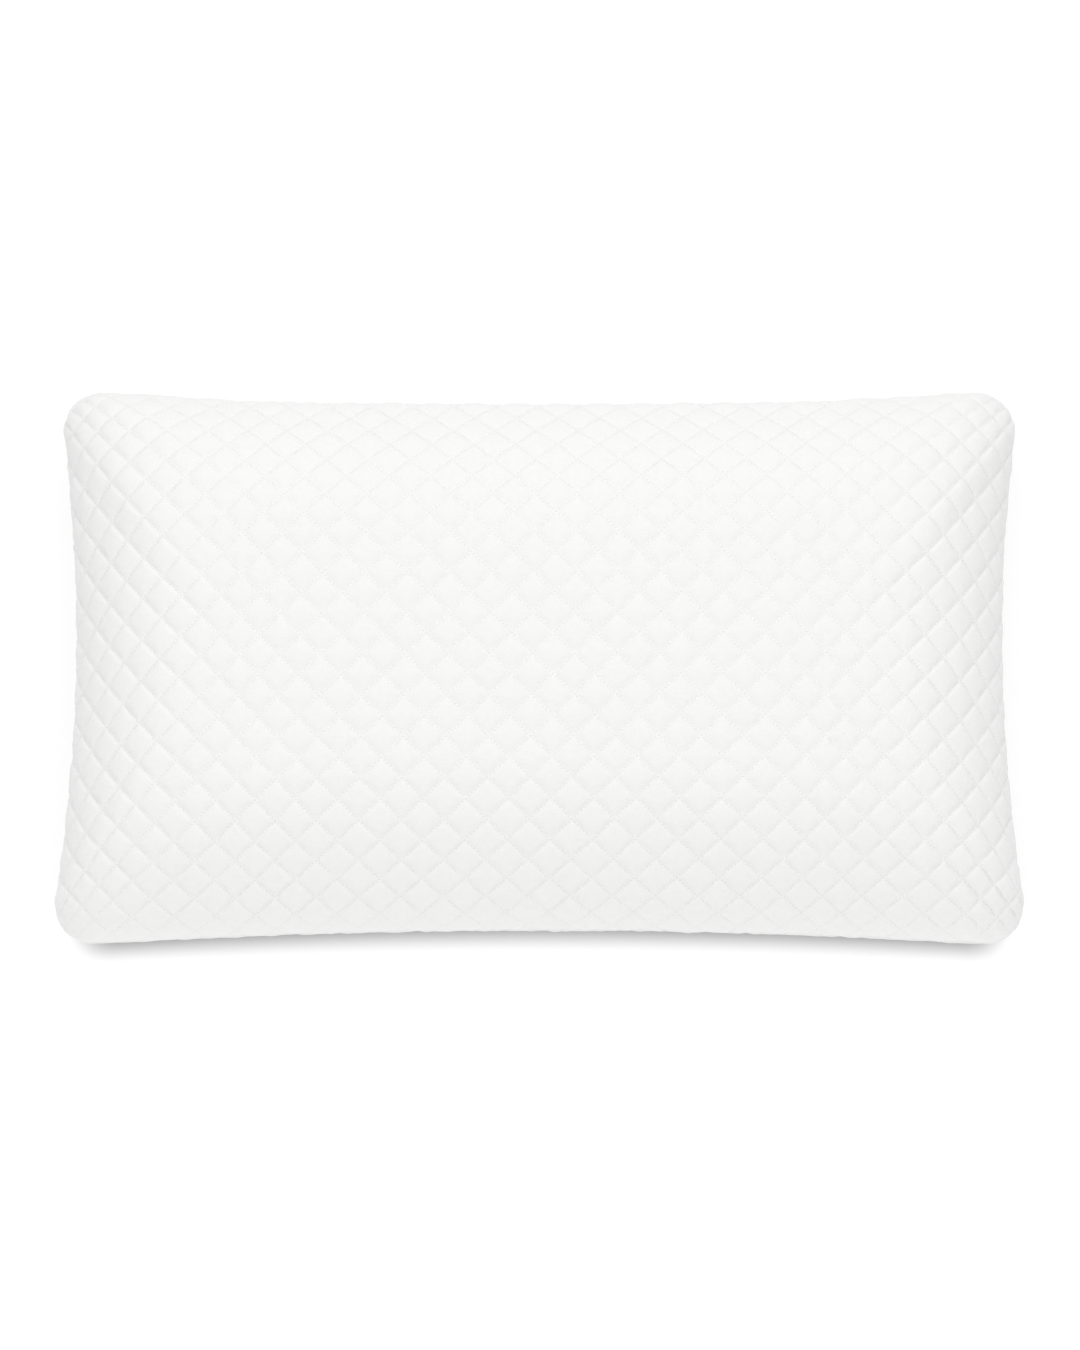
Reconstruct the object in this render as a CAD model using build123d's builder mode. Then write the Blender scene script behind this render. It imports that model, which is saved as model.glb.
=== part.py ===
from build123d import *
import os

# A bed pillow lying flat: +X along its length, +Y towards the zip side, +Z up.
# The origin is under its middle, on the surface that it lies on.

# the whole pillow
length = 711.0
depth = 412.0
corner_radius = 26.0
long_side_dip = 7.8
short_side_dip = 12.5
rise_above_seam = 80.0
drop_below_seam = 65.0
shoulder_above = 119.0
shoulder_below = 105.0
shoulder_power = 2.27
shoulder_root = 1.28
corner_growth = 0.3
dip_fade = 0.9
levels = 10
level_spacing = 2.0
seam_gap = 0.6
seam_thickness = 1.0

# thicknesses of the cover, measured inwards from its outside
face_thickness = 0.9
wadding_thickness = 3.2
backing_thickness = 0.5
layer_gap = 0.2
liner_side_inset = 11.0
liner_top_inset = 5.6
liner_thickness = 0.6
core_gap = 0.4

# the zip in the back side
window_half_length = 232.0
window_half_height = 6.5
window_middle = depth * 3 / 8
window_reach = depth / 4
tape_half_length = 230.0
tape_thickness = 0.6
tape_depth = 5.0
tape_reach = 14.0
tape_lean = 4.0
tape_clearance_depth = 10.0
hem_clearance = 0.15
coil_half_length = 205.0
coil_inner = 0.5
coil_outer = 2.6
coil_thickness = 2.2
coil_corner = 0.735
stop_gap = 0.2
top_stop_length = 3.0
bottom_stop_length = 4.0
stop_thickness = 2.6
stop_outer = 3.0
top_stop_corner = 0.5
bottom_stop_corner = 0.6
bartack_length = 1.6
bartack_thickness = 1.0
bartack_half_height = 6.0
bartack_corner = 0.45

# the slider and its pull
slider_length = 10.0
slider_half_width = 3.9
slider_end_gap = 0.3
plate_thickness = 1.2
plate_gap = 0.35
lip_width = 0.9
lip_clearance = 0.5
plate_corner = 1.6
post_length = 2.4
post_half_width = 0.3
bridge_half_length = 3.0
bridge_half_width = 0.8
bridge_height = 2.5
bridge_bar = 0.8
pull_bar_radius = 0.6
pull_thickness = 1.2
pull_length = 24.0
pull_half_width = 3.2
pull_eye_length = 5.2
pull_arm_inner = 1.2
pull_corner = 1.4
pull_rest_gap = 0.25

# the care label
label_width = 32.0
label_drop = 38.0
label_x = -290.0
label_gap = 0.4
label_thickness = 0.5

seam_height = drop_below_seam
zip_surface = depth / 2 - long_side_dip
tape_y = zip_surface - tape_depth - tape_thickness
coil_y = tape_y + tape_thickness
slider_x = coil_half_length - slider_length / 2 - slider_end_gap
top_plate_y = coil_y + coil_thickness + plate_gap
bottom_plate_y = tape_y - plate_gap - plate_thickness
bridge_y = top_plate_y + plate_thickness
pull_y = bridge_y + pull_rest_gap + pull_thickness / 2


def shoulder(part_way):
    """Height of the surface as a share of the full height, from 0 at the seam to 1 on top."""
    return (1 - (1 - part_way) ** shoulder_power) ** (1 / shoulder_root)


def outline(inset, inward=0):
    """A layer's rectangle with round corners and sides that curve in, or its level line further inward."""
    half_x = length / 2 - inset - inward
    half_y = depth / 2 - inset - inward
    radius = corner_radius - inset + corner_growth * inward
    centre = Vector(half_x - radius, half_y - radius)
    fade = 1 - dip_fade * inward / shoulder_above
    dip_y = long_side_dip * fade
    dip_x = short_side_dip * fade
    bow_long = (centre.X**2 + (radius - dip_y) ** 2 - radius**2) / (2 * dip_y)
    bow_short = (centre.Y**2 + (radius - dip_x) ** 2 - radius**2) / (2 * dip_x)
    to_long = (Vector(0, half_y - dip_y + bow_long) - centre).normalized()
    to_short = (Vector(half_x - dip_x + bow_short, 0) - centre).normalized()
    on_long = centre + to_long * radius
    on_short = centre + to_short * radius
    on_corner = centre + (to_long + to_short).normalized() * radius
    with BuildSketch() as shape:
        with BuildLine():
            for side in (1, -1):
                ThreePointArc(
                    (-on_long.X, side * on_long.Y),
                    (0, side * (half_y - dip_y)),
                    (on_long.X, side * on_long.Y),
                )
                ThreePointArc(
                    (side * on_short.X, -on_short.Y),
                    (side * (half_x - dip_x), 0),
                    (side * on_short.X, on_short.Y),
                )
                for end in (1, -1):
                    ThreePointArc(
                        (side * on_long.X, end * on_long.Y),
                        (side * on_corner.X, end * on_corner.Y),
                        (side * on_short.X, end * on_short.Y),
                    )
        make_face()
    return shape.sketch


def half_loaf(side, side_inset, face_inset, gap=seam_gap):
    """Half of the pillow's form above (side 1) or below (side -1) the seam, inset by a layer's depth."""
    full = rise_above_seam if side == 1 else drop_below_seam
    shoulder_width = shoulder_above if side == 1 else shoulder_below
    with BuildPart() as half:
        for level in range(levels + 1):
            part_way = (level / levels) ** level_spacing
            inward = shoulder_width * part_way
            height = gap + (full - face_inset - gap) * shoulder(part_way)
            with BuildSketch(Plane.XY.offset(seam_height + side * height)):
                add(outline(side_inset, inward))
        loft(ruled=True)
    return half.part


def ring(outer_inset, inner_inset, thickness):
    """A flat ring round the pillow at the height of the seam."""
    with BuildPart() as band:
        with BuildSketch(Plane.XY.offset(seam_height)):
            add(outline(outer_inset))
            add(outline(inner_inset), mode=Mode.SUBTRACT)
        extrude(amount=thickness / 2, both=True)
    return band.part


def tape_section(side, front, back, near, far):
    """The tape's section: flat beside the coil, then leaning in behind the panel."""
    bend = window_half_height
    lean = tape_lean * (far - bend) / (tape_reach - bend)
    corners = [
        (back, seam_height + side * near),
        (front, seam_height + side * near),
        (front, seam_height + side * bend),
        (front - lean, seam_height + side * far),
        (back - lean, seam_height + side * far),
        (back, seam_height + side * bend),
    ]
    with BuildSketch() as section:
        with BuildLine():
            Polyline(*corners, close=True)
        make_face()
    return section.sketch


def zip_opening(side):
    """What is cut away over the zip, and behind the hem where it lies on the tape."""
    front = coil_y + hem_clearance
    with BuildPart() as opening:
        with BuildSketch(Plane.YZ.offset(-window_half_length)):
            with Locations((window_middle, seam_height)):
                Rectangle(window_reach, 2 * window_half_height)
            add(tape_section(side, front, front - tape_clearance_depth, 0, tape_reach + hem_clearance))
        extrude(amount=2 * window_half_length)
    return opening.part


def save(piece, label):
    piece.part.label = label
    export_step(piece.part, f"parts/{label}.step")


os.makedirs("parts", exist_ok=True)

# the foam core
core_side_inset = liner_side_inset + liner_thickness + core_gap
core_face_inset = liner_top_inset + liner_thickness + core_gap
with BuildPart() as foam_core:
    add(half_loaf(1, core_side_inset, core_face_inset, gap=0))
    add(half_loaf(-1, core_side_inset, core_face_inset, gap=0))
save(foam_core, "foam_core")

# the liner: two knitted halves and the seam between them
for label, side in (("liner_top", 1), ("liner_bottom", -1)):
    outside = half_loaf(side, liner_side_inset, liner_top_inset)
    inside = half_loaf(side, liner_side_inset + liner_thickness, liner_top_inset + liner_thickness)
    with BuildPart() as liner_half:
        add(outside)
        add(inside, mode=Mode.SUBTRACT)
    save(liner_half, label)

with BuildPart() as liner_seam:
    add(ring(liner_side_inset, liner_side_inset + liner_thickness, seam_thickness))
save(liner_seam, "liner_seam")

# the quilted cover: knitted face, wadding and backing, above and below the seam
wadding_inset = face_thickness + layer_gap
backing_inset = wadding_inset + wadding_thickness + layer_gap
cover_layers = (
    ("face", 0.0, face_thickness),
    ("wadding", wadding_inset, wadding_thickness),
    ("backing", backing_inset, backing_thickness),
)
for panel, side in (("cover_top", 1), ("cover_bottom", -1)):
    opening = zip_opening(side)
    for layer, inset, thickness in cover_layers:
        outside = half_loaf(side, inset, inset)
        inside = half_loaf(side, inset + thickness, inset + thickness)
        with BuildPart() as cover_layer:
            add(outside)
            add(inside, mode=Mode.SUBTRACT)
            add(opening, mode=Mode.SUBTRACT)
        save(cover_layer, f"{panel}_{layer}")

# the side seam: overlocked edges turned inside, open along the zip
with BuildPart() as side_seam:
    add(ring(layer_gap, liner_side_inset - core_gap, seam_thickness))
    with Locations((0, window_middle, seam_height)):
        Box(2 * window_half_length, window_reach, 2 * seam_gap, mode=Mode.SUBTRACT)
save(side_seam, "side_seam")

# the zip's tapes and coils
coil_width = coil_outer - coil_inner
coil_offset = coil_inner + coil_width / 2
for label, side in (("upper", 1), ("lower", -1)):
    with BuildPart() as zip_tape:
        with BuildSketch(Plane.YZ.offset(-tape_half_length)):
            add(tape_section(side, coil_y, tape_y, coil_inner, tape_reach))
        extrude(amount=2 * tape_half_length)
    save(zip_tape, f"zip_tape_{label}")

    with BuildPart() as zip_coil:
        with BuildSketch(Plane.YZ.offset(-coil_half_length)):
            with Locations((coil_y + coil_thickness / 2, seam_height + side * coil_offset)):
                RectangleRounded(coil_thickness, coil_width, coil_corner)
        extrude(amount=2 * coil_half_length)
    save(zip_coil, f"zip_coil_{label}")

# the stops at the two ends of the coils
top_stop_offset = (coil_inner + stop_outer) / 2
with BuildPart() as zip_top_stops:
    with BuildSketch(Plane.YZ.offset(coil_half_length + stop_gap)):
        for side in (1, -1):
            with Locations((coil_y + stop_thickness / 2, seam_height + side * top_stop_offset)):
                RectangleRounded(stop_thickness, stop_outer - coil_inner, top_stop_corner)
    extrude(amount=top_stop_length)
save(zip_top_stops, "zip_top_stops")

with BuildPart() as zip_bottom_stop:
    with BuildSketch(Plane.YZ.offset(-coil_half_length - stop_gap)):
        with Locations((coil_y + stop_thickness / 2, seam_height)):
            RectangleRounded(stop_thickness, 2 * stop_outer, bottom_stop_corner)
    extrude(amount=-bottom_stop_length)
save(zip_bottom_stop, "zip_bottom_stop")

# the thread bars that close the ends of the opening
with BuildPart() as zip_bartacks:
    for end in (1, -1):
        with BuildSketch(Plane.YZ.offset(end * (tape_half_length - bartack_length))):
            with Locations((coil_y + bartack_thickness / 2, seam_height)):
                RectangleRounded(bartack_thickness, 2 * bartack_half_height, bartack_corner)
        extrude(amount=bartack_length * end)
save(zip_bartacks, "zip_bartacks")

# the slider: two plates joined by a thin post, with side lips and a bridge for the pull
lip_height = top_plate_y - coil_y - lip_clearance
with BuildPart() as zip_slider:
    with BuildSketch(Plane.XZ.offset(-bottom_plate_y)):
        with Locations((slider_x, seam_height)):
            RectangleRounded(slider_length, 2 * slider_half_width, plate_corner)
    extrude(amount=-plate_thickness)
    with BuildSketch(Plane.XZ.offset(-top_plate_y)):
        with Locations((slider_x, seam_height)):
            RectangleRounded(slider_length, 2 * slider_half_width, plate_corner)
    extrude(amount=-plate_thickness)
    with BuildSketch(Plane.XZ.offset(-top_plate_y)):
        with Locations((slider_x, seam_height)):
            with GridLocations(0, 2 * slider_half_width - lip_width, 1, 2):
                Rectangle(slider_length - 2 * plate_corner, lip_width)
    extrude(amount=lip_height)
    with BuildSketch(Plane.XZ.offset(-bottom_plate_y)):
        with Locations((slider_x + slider_length / 2 - plate_corner, seam_height)):
            Rectangle(post_length, 2 * post_half_width)
    extrude(amount=-(top_plate_y - bottom_plate_y))
    with BuildSketch(Plane.XY.offset(seam_height)):
        with Locations((slider_x, bridge_y + bridge_height / 2)):
            Rectangle(2 * bridge_half_length, bridge_height)
        with Locations((slider_x, bridge_y + (bridge_height - bridge_bar) / 2)):
            Rectangle(2 * (bridge_half_length - bridge_bar), bridge_height - bridge_bar, mode=Mode.SUBTRACT)
    extrude(amount=bridge_half_width, both=True)
save(zip_slider, "zip_slider")

# the pull: an eye round the slider's bridge, and a flat tab that lies along the zip
with BuildPart() as zip_pull:
    with BuildSketch(Plane.XZ.offset(-pull_y)):
        with Locations((slider_x - pull_length / 2 + pull_bar_radius, seam_height)):
            RectangleRounded(pull_length, 2 * pull_half_width, pull_corner)
        with Locations((slider_x - pull_eye_length / 2, seam_height)):
            Rectangle(pull_eye_length, 2 * pull_arm_inner, mode=Mode.SUBTRACT)
    extrude(amount=pull_thickness / 2, both=True)
    with BuildSketch(Plane.XY.offset(seam_height)):
        with Locations((slider_x, pull_y)):
            Circle(pull_bar_radius)
    extrude(amount=pull_half_width - pull_corner / 2, both=True)
save(zip_pull, "zip_pull")

# the care label: a folded ribbon caught in the side seam, hanging down the back side
label_outside = half_loaf(-1, -label_gap - label_thickness, 0)
label_inside = half_loaf(-1, -label_gap, 0)
with BuildPart() as care_label:
    with Locations((label_x, depth / 2, seam_height - seam_gap - label_drop / 2)):
        Box(label_width, 2 * corner_radius, label_drop)
    add(label_outside, mode=Mode.INTERSECT)
    add(label_inside, mode=Mode.SUBTRACT)
save(care_label, "care_label")
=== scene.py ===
import math

import bpy
import numpy as np
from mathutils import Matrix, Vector


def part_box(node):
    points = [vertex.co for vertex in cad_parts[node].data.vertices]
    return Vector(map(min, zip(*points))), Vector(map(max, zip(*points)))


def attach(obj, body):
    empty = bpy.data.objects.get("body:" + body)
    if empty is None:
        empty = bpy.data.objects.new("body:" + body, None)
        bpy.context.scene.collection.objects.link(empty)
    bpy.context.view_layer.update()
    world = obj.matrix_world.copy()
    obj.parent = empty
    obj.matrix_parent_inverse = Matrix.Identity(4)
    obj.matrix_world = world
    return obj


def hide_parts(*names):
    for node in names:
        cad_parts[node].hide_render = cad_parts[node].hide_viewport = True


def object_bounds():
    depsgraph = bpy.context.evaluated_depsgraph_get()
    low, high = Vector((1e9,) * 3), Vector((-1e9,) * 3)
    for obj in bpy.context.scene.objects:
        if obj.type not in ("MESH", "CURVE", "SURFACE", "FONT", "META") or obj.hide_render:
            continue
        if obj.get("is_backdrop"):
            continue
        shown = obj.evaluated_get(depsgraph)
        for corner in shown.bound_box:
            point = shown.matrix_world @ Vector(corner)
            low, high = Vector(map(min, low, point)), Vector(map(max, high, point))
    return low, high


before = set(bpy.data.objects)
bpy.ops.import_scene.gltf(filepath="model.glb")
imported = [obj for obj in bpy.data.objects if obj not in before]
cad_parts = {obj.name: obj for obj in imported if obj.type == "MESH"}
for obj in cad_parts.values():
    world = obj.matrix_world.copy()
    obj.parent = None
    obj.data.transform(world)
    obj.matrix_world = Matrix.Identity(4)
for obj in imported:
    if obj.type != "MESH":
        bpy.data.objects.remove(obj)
scene = bpy.context.scene
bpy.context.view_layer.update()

MM = 0.001
RANDOM_SEED = 7

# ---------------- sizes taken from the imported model
face_low, face_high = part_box("cover_top_face")
base_low, base_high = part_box("cover_bottom_face")
tape_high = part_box("zip_tape_upper")[1]
coil_low, coil_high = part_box("zip_coil_upper")
label_low, label_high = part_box("care_label")
HALF_LENGTH = face_high.x
HALF_DEPTH = face_high.y
TOP = face_high.z
SEAM_HEIGHT = (base_high.z + face_low.z) / 2

# the form, as in the CAD model
CORNER_RADIUS = 26 * MM
LONG_SIDE_DIP = 7.8 * MM
SHORT_SIDE_DIP = 12.5 * MM
SHOULDER_ABOVE = 119 * MM
SHOULDER_BELOW = 105 * MM
SHOULDER_POWER = 2.27
SHOULDER_ROOT = 1.28
CORNER_GROWTH = 0.3
DIP_FADE = 0.9
CROWN = 5.0 * MM
# how far the filled cover swells out beyond its seam, on the front, the back and the two ends
SWELL_FRONT = (2.0 * MM, 2.5 * MM)
SWELL_BACK = (7.0 * MM, -3.0 * MM)
SWELL_END = 2.2 * MM
SWELL_CORNER = 300 * MM
SWELL_PLACE = 15 * MM
SWELL_SPREAD = 30 * MM
SWELL_CAP = 1.5 * MM
SWELL_FRAMES = 20

# the quilting: diamonds between two families of stitched lines
DIAMOND_WIDTH = 30.9 * MM
DIAMOND_HEIGHT = 30.6 * MM
QUILT_NODE = (-5.2 * MM, -8.0 * MM)
COLUMN_LEAN = -0.018
ROW_LEAN = -0.005
EDGE_PUFF = 1.05 * MM
UPPER_EDGE_WIDTH = 1.2 * MM
LOWER_EDGE_WIDTH = 2.7 * MM
EDGE_POWER = 1.5
STITCH_TROUGH = 0.3 * MM
DOME_PUFF = 1.0 * MM
DOME_LEAN = 0.6
# the cloth has a little ease towards the two ends, so its diamonds crowd there
EASE = 4.5 * MM
EASE_FROM = 160 * MM
EASE_REACH = 100 * MM
LINE_SPACING = DIAMOND_WIDTH * DIAMOND_HEIGHT / math.hypot(DIAMOND_WIDTH, DIAMOND_HEIGHT)
STITCHES_PER_SIDE = 7
STITCH_PITCH = math.hypot(DIAMOND_WIDTH, DIAMOND_HEIGHT) / 2 / STITCHES_PER_SIDE
BOTTOM_QUILT_NODE = (6 * MM, -5 * MM)
UNEVENNESS = (0.88, 1.08)
# each stitch is a grain of thread: its length, width, height, and how far its middle stands off the cloth
QUILT_GRAIN = (STITCH_PITCH * 0.6, 0.65 * MM, 0.34 * MM, 0.08 * MM)
# the stitching stops this far from the seam, at the front and elsewhere
STITCHES_FROM = (15 * MM, 5 * MM)

# the needle holes between the stitches: half-widths, the painted shade that darkens their colour, and depth
# as a share of the cloth's own bumps
HOLE_CORE = 0.3 * MM
HOLE_REACH = 1.0 * MM
HOLE_SHADE = 0.93
HOLE_SINK = 0.5

# the hem beside the zip, and how far beyond the zip it and the calmer swell beside it reach
HEM_STITCH_INSET = 3 * MM
HEM_STITCH_PITCH = 2.6 * MM
HEM_GRAIN = (HEM_STITCH_PITCH * 0.8, 0.8 * MM, 0.5 * MM, 0.15 * MM)
HEM_WIDTH = 11 * MM
HEM_BEYOND = 20 * MM
HEM_BLEND = 24 * MM
CALM_BEYOND = 75 * MM
HEM_FURROW = 0.6 * MM

# where the quilting fades, and the cover's unevenness
FRONT_FROM = -0.4
BACK_FROM = 0.3
PLAIN_AT_FRONT = 46 * MM
PLAIN_ELSEWHERE = 22 * MM
END_FROM = 0.6
END_REACH = 0.35
END_NARROWER = 0.45
LEAST_QUILTING = 0.12
LEAST_QUILTING_MORE_AT_END = 0.06
PUCKER = 0.4 * MM
PUCKER_REACH = 8 * MM
MEAN_RADIUS = 0.36
BROAD_WAVE = 0.3 * MM
SMALL_WAVE = 0.06 * MM
FLOOR_CLEARANCE = 0.6 * MM

# the cover's mesh
TOP_CELL = 1.0 * MM
BOTTOM_CELL = 1.6 * MM
FINE_CELL = 0.6 * MM
CELL_GROWTH = 1.1
COARSE = 8
COVER_THICKNESS = 4.6 * MM
HEM_THICKNESS = 2.4 * MM
SEAM_GAP = 0.3 * MM
SEAM_DEPTH = 3.0 * MM
SEAM_WIDTH = 2.0 * MM


def shoulder(part_way):
    """The share of its height that the section reaches part of the way in from the seam."""
    return (1 - (1 - part_way) ** SHOULDER_POWER) ** (1 / SHOULDER_ROOT)


class Profile:
    """The pillow's section above or below the seam, by the distance run along the cloth from the seam."""

    def __init__(self, height, width, samples=4000):
        self.width = width
        part_way = np.linspace(0, 1, samples) ** 3
        inward = width * part_way
        rise = height * shoulder(part_way)
        step = np.hypot(np.diff(inward), np.diff(rise))
        self.run = np.concatenate([[0], np.cumsum(step)])
        self.inward = inward
        self.rise = rise
        self.total = self.run[-1]

    def inward_at(self, run):
        return np.interp(run, self.run, self.inward)

    def rise_at(self, run):
        return np.interp(run, self.run, self.rise)

    def run_at_rise(self, rise):
        return float(np.interp(rise, self.rise, self.run))


def side_points(inward, share, along_half, across_half, dip, next_dip, inset):
    """Points on one side of the level line that lies inward of the seam, and their outward directions.

    share runs from -1 to 1 between the middles of the two corners. dip is how far this side curves in at its
    middle, and next_dip how far the two sides next to it do.
    """
    half_along = along_half - inset - inward
    half_across = across_half - inset - inward
    radius = CORNER_RADIUS - inset + CORNER_GROWTH * inward
    fade = 1 - DIP_FADE * inward / SHOULDER_ABOVE
    centre_along = half_along - radius
    centre_across = half_across - radius

    def bow_of(centre, sag):
        return (centre**2 + (radius - sag) ** 2 - radius**2) / (2 * sag)

    own_dip = dip * fade
    other_dip = next_dip * fade
    bow = bow_of(centre_along, own_dip)
    other_bow = bow_of(centre_across, other_dip)
    # directions from the corner's centre to where it meets this side and the next
    lift = half_across - own_dip + bow - centre_across
    own_angle = np.arctan2(lift, -centre_along)
    other_lift = half_along - other_dip + other_bow - centre_along
    other_angle = np.arctan2(-centre_across, other_lift)
    middle_angle = (own_angle + other_angle) / 2
    arc_half = np.arcsin(np.clip((centre_along + radius * np.cos(own_angle)) / bow, -1, 1))
    side_length = bow * arc_half
    corner_length = radius * (own_angle - middle_angle)
    run = np.abs(share) * (side_length + corner_length)
    on_side = run < side_length
    turn = np.minimum(run, side_length) / bow
    angle = own_angle - np.maximum(run - side_length, 0) / radius
    along = np.where(on_side, bow * np.sin(turn), centre_along + radius * np.cos(angle))
    across = np.where(
        on_side, half_across - own_dip + bow * (1 - np.cos(turn)), centre_across + radius * np.sin(angle)
    )
    normal_along = np.where(on_side, -np.sin(turn), np.cos(angle))
    normal_across = np.where(on_side, np.cos(turn), np.sin(angle))
    sign = np.where(share < 0, -1.0, 1.0)
    return along * sign, across, normal_along * sign, normal_across


def run_steps(total, largest):
    """Distances from the seam of the rings of the mesh: fine beside the seam, then even."""
    steps = [0.0]
    cell = FINE_CELL
    while steps[-1] + largest < total:
        steps.append(steps[-1] + cell)
        cell = min(cell * CELL_GROWTH, largest)
    steps[-1] = total
    return np.array(steps)


class Panel:
    """One half of a pillow-shaped skin, as a grid of points with their place in the flat cloth."""

    def __init__(self, side, height, width, inset=0.0, cell=TOP_CELL, fine=True, zip_slit=None, like=None):
        self.side = side
        profile = Profile(height, width)
        flat_x = HALF_LENGTH - inset - width
        flat_y = HALF_DEPTH - inset - width
        if like:
            rings_kept, nx, ny = like.rings, like.nx, like.ny
            runs = np.linspace(0, profile.total, rings_kept + 1)
        else:
            even = np.linspace(0, profile.total, round(profile.total / cell) + 1)
            runs = run_steps(profile.total, cell) if fine else even
            rings_kept = len(runs) - 1
            nx = COARSE * round((2 * flat_x / cell + 2 * rings_kept) / COARSE)
            ny = COARSE * round((2 * flat_y / cell + 2 * rings_kept) / COARSE)
        self.nx, self.ny, self.rings = nx, ny, rings_kept
        shape = (nx + 1, ny + 1)
        self.x = np.zeros(shape)
        self.y = np.zeros(shape)
        self.run = np.full(shape, profile.total)
        self.out_x = np.zeros(shape)
        self.out_y = np.zeros(shape)
        for ring in range(rings_kept + 1):
            for long_side in (True, False):
                count = (nx if long_side else ny) - 2 * ring
                index = np.arange(count + 1)
                share = 2 * index / count - 1
                halves = (HALF_LENGTH, HALF_DEPTH) if long_side else (HALF_DEPTH, HALF_LENGTH)
                dips = (LONG_SIDE_DIP, SHORT_SIDE_DIP) if long_side else (SHORT_SIDE_DIP, LONG_SIDE_DIP)
                for sign in (-1, 1):
                    run = np.full(count + 1, runs[ring])
                    inward = profile.inward_at(run)
                    along, across, n_along, n_across = side_points(inward, share, *halves, *dips, inset)
                    if zip_slit and long_side and sign == 1:
                        run = zip_slit(along, run)
                        inward = profile.inward_at(run)
                        along, across, n_along, n_across = side_points(inward, share, *halves, *dips, inset)
                    if long_side:
                        j = ny - ring if sign == 1 else ring
                        cells = (index + ring, np.full(count + 1, j))
                        values = (along, across * sign, n_along, n_across * sign)
                    else:
                        i = nx - ring if sign == 1 else ring
                        cells = (np.full(count + 1, i), index + ring)
                        values = (across * sign, along, n_across * sign, n_along)
                    self.x[cells], self.y[cells], self.out_x[cells], self.out_y[cells] = values
                    self.run[cells] = run
        self.fill_middle(rings_kept)
        inward = profile.inward_at(self.run)
        spare = (profile.total - self.run) - (profile.width - inward)
        self.u = self.x + spare * self.out_x * np.abs(self.out_x) ** 0.6
        self.v = self.y + spare * self.out_y * np.abs(self.out_y) ** 0.6
        self.u += EASE * np.sign(self.x) * smooth_step((np.abs(self.x) - EASE_FROM) / EASE_REACH)
        bulge = CROWN * np.clip(1 - (self.x / (HALF_LENGTH - inset)) ** 2, 0, 1) ** 1.5
        bulge = bulge * np.clip(1 - (self.y / (HALF_DEPTH - inset)) ** 2, 0, 1) ** 1.5
        rise = profile.rise_at(self.run) + (bulge if side == 1 else 0)
        self.z = SEAM_HEIGHT + side * rise
        # how far each ring is from the panel's own edge, and which way the cloth faces
        i, j = np.arange(nx + 1)[:, None], np.arange(ny + 1)[None, :]
        ring_of = np.minimum(np.minimum(i, nx - i), np.minimum(j, ny - j))
        self.edge_run = runs[np.minimum(ring_of, rings_kept)]
        flatter = np.gradient(profile.inward, profile.run)
        steeper = np.gradient(profile.rise, profile.run)
        level = np.interp(self.run, profile.run, flatter)
        steep = np.interp(self.run, profile.run, steeper)
        normal = np.stack([self.out_x * steep, self.out_y * steep, side * level], axis=-1)
        self.normal = normal / np.linalg.norm(normal, axis=-1, keepdims=True)

    def fill_middle(self, ring):
        """Fills the flat middle evenly between its four edges."""
        i0, i1, j0, j1 = ring, self.nx - ring, ring, self.ny - ring
        s = np.linspace(0, 1, i1 - i0 + 1)[:, None]
        t = np.linspace(0, 1, j1 - j0 + 1)[None, :]
        for grid in (self.x, self.y):
            low, high = grid[i0 : i1 + 1, j0][:, None], grid[i0 : i1 + 1, j1][:, None]
            left, right = grid[i0, j0 : j1 + 1][None, :], grid[i1, j0 : j1 + 1][None, :]
            corners = (
                (1 - s) * (1 - t) * grid[i0, j0]
                + s * (1 - t) * grid[i1, j0]
                + (1 - s) * t * grid[i0, j1]
                + s * t * grid[i1, j1]
            )
            grid[i0 : i1 + 1, j0 : j1 + 1] = (1 - t) * low + t * high + (1 - s) * left + s * right - corners
        inside = (slice(i0 + 1, i1), slice(j0 + 1, j1))
        self.out_x[inside] = 0
        self.out_y[inside] = 0

    def points(self):
        return np.stack([self.x, self.y, self.z], axis=-1)


def smooth_step(x):
    x = np.clip(x, 0, 1)
    return x * x * (3 - 2 * x)


def quilt_lines(u, v, node):
    """The two families' line numbers, whole on a stitched line."""
    du = u - node[0] + (v - node[1]) * COLUMN_LEAN
    dv = v - node[1] + (u - node[0]) * ROW_LEAN
    return du / DIAMOND_WIDTH + dv / DIAMOND_HEIGHT, du / DIAMOND_WIDTH - dv / DIAMOND_HEIGHT


def quilt_height(p, q, seed):
    """How far each point of the quilted cloth stands above its stitched lines."""
    # each diamond is steep along its two upper edges and slopes gently to its two lower edges
    away_p, away_q = p - np.round(p), q - np.round(q)
    width_p = np.where(away_p > 0, LOWER_EDGE_WIDTH, UPPER_EDGE_WIDTH)
    width_q = np.where(away_q > 0, UPPER_EDGE_WIDTH, LOWER_EDGE_WIDTH)
    from_p = np.maximum(np.abs(away_p) * LINE_SPACING - STITCH_TROUGH, 0)
    from_q = np.maximum(np.abs(away_q) * LINE_SPACING - STITCH_TROUGH, 0)
    edge = 1 - np.exp(-((from_p / width_p) ** EDGE_POWER))
    edge = edge * (1 - np.exp(-((from_q / width_q) ** EDGE_POWER)))
    dome = np.abs(np.sin(np.pi * p) * np.sin(np.pi * q)) ** 0.8
    upward = (p - np.floor(p)) - (q - np.floor(q))
    dome = dome * (1 + DOME_LEAN * upward)
    rng = np.random.default_rng(seed)
    table = rng.uniform(*UNEVENNESS, (97, 89))
    uneven = table[np.floor(p).astype(int) % 97, np.floor(q).astype(int) % 89]
    return (EDGE_PUFF * edge + DOME_PUFF * dome) * uneven


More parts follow.
